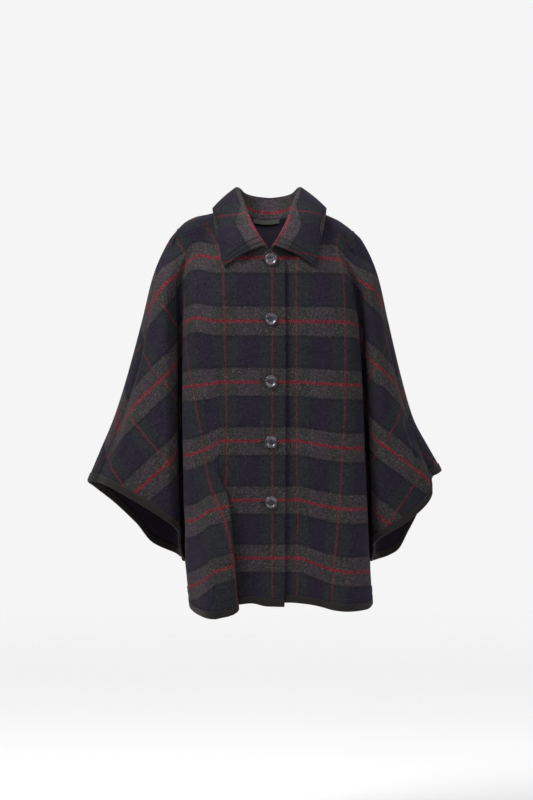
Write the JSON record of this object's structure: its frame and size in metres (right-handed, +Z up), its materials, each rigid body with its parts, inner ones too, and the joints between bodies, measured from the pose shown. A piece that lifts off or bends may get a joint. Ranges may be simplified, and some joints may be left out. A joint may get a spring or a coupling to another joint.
{
  "type": "cape coat",
  "caption": "Hip-length checked wool cape coat with half sleeves cut in one with the body, point collar, buttoned front and tape-bound cuffs and hem.",
  "frame": {"origin": "middle of the base of the neck, level with the back neck seam, where the wearer's neck and shoulders hold the coat", "axes": "+Z up, front toward -Y, the wearer's left toward +X"},
  "size_m": [0.7084, 0.2747, 0.8514],
  "materials": {
    "checked_wool": "brushed double-faced wool, checked outside and plain navy inside",
    "binding_tape": "ribbed wool braid",
    "horn_button": "polished, horn-like"
  },
  "bodies": {
    "root": {"front_right": "checked_wool", "front_left": "checked_wool", "back": "checked_wool", "collar": "checked_wool", "hanging_loop": "checked_wool", "cuff_tape_front_right": "binding_tape", "cuff_tape_front_left": "binding_tape", "cuff_tape_back_right": "binding_tape", "cuff_tape_back_left": "binding_tape", "hem_tape_front_right": "binding_tape", "hem_tape_front_left": "binding_tape", "hem_tape_back": "binding_tape", "button_1": "horn_button", "button_2": "horn_button", "button_3": "horn_button", "button_4": "horn_button", "button_5": "horn_button"}
  },
  "joints": []
}
